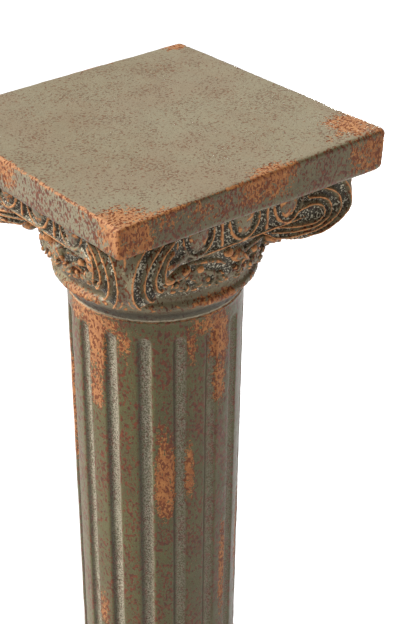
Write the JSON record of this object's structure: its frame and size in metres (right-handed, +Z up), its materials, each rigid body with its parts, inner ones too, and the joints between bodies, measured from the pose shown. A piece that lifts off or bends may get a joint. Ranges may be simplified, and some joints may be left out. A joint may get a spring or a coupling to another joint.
{
  "type": "garden pedestal",
  "caption": "Fluted round column pedestal with a square top slab, an egg-and-dart capital with corner scrolls and a moulded base, to stand a pot or figure on.",
  "frame": {"origin": "middle of the plinth's underside", "axes": "+Z up along the shaft, +X and +Y square to the slab's sides"},
  "size_m": [0.3, 0.3, 0.76],
  "materials": {
    "aged_paint": "satin grey-green paint worn through to terracotta"
  },
  "bodies": {
    "root": {"pedestal": "aged_paint"}
  },
  "joints": []
}
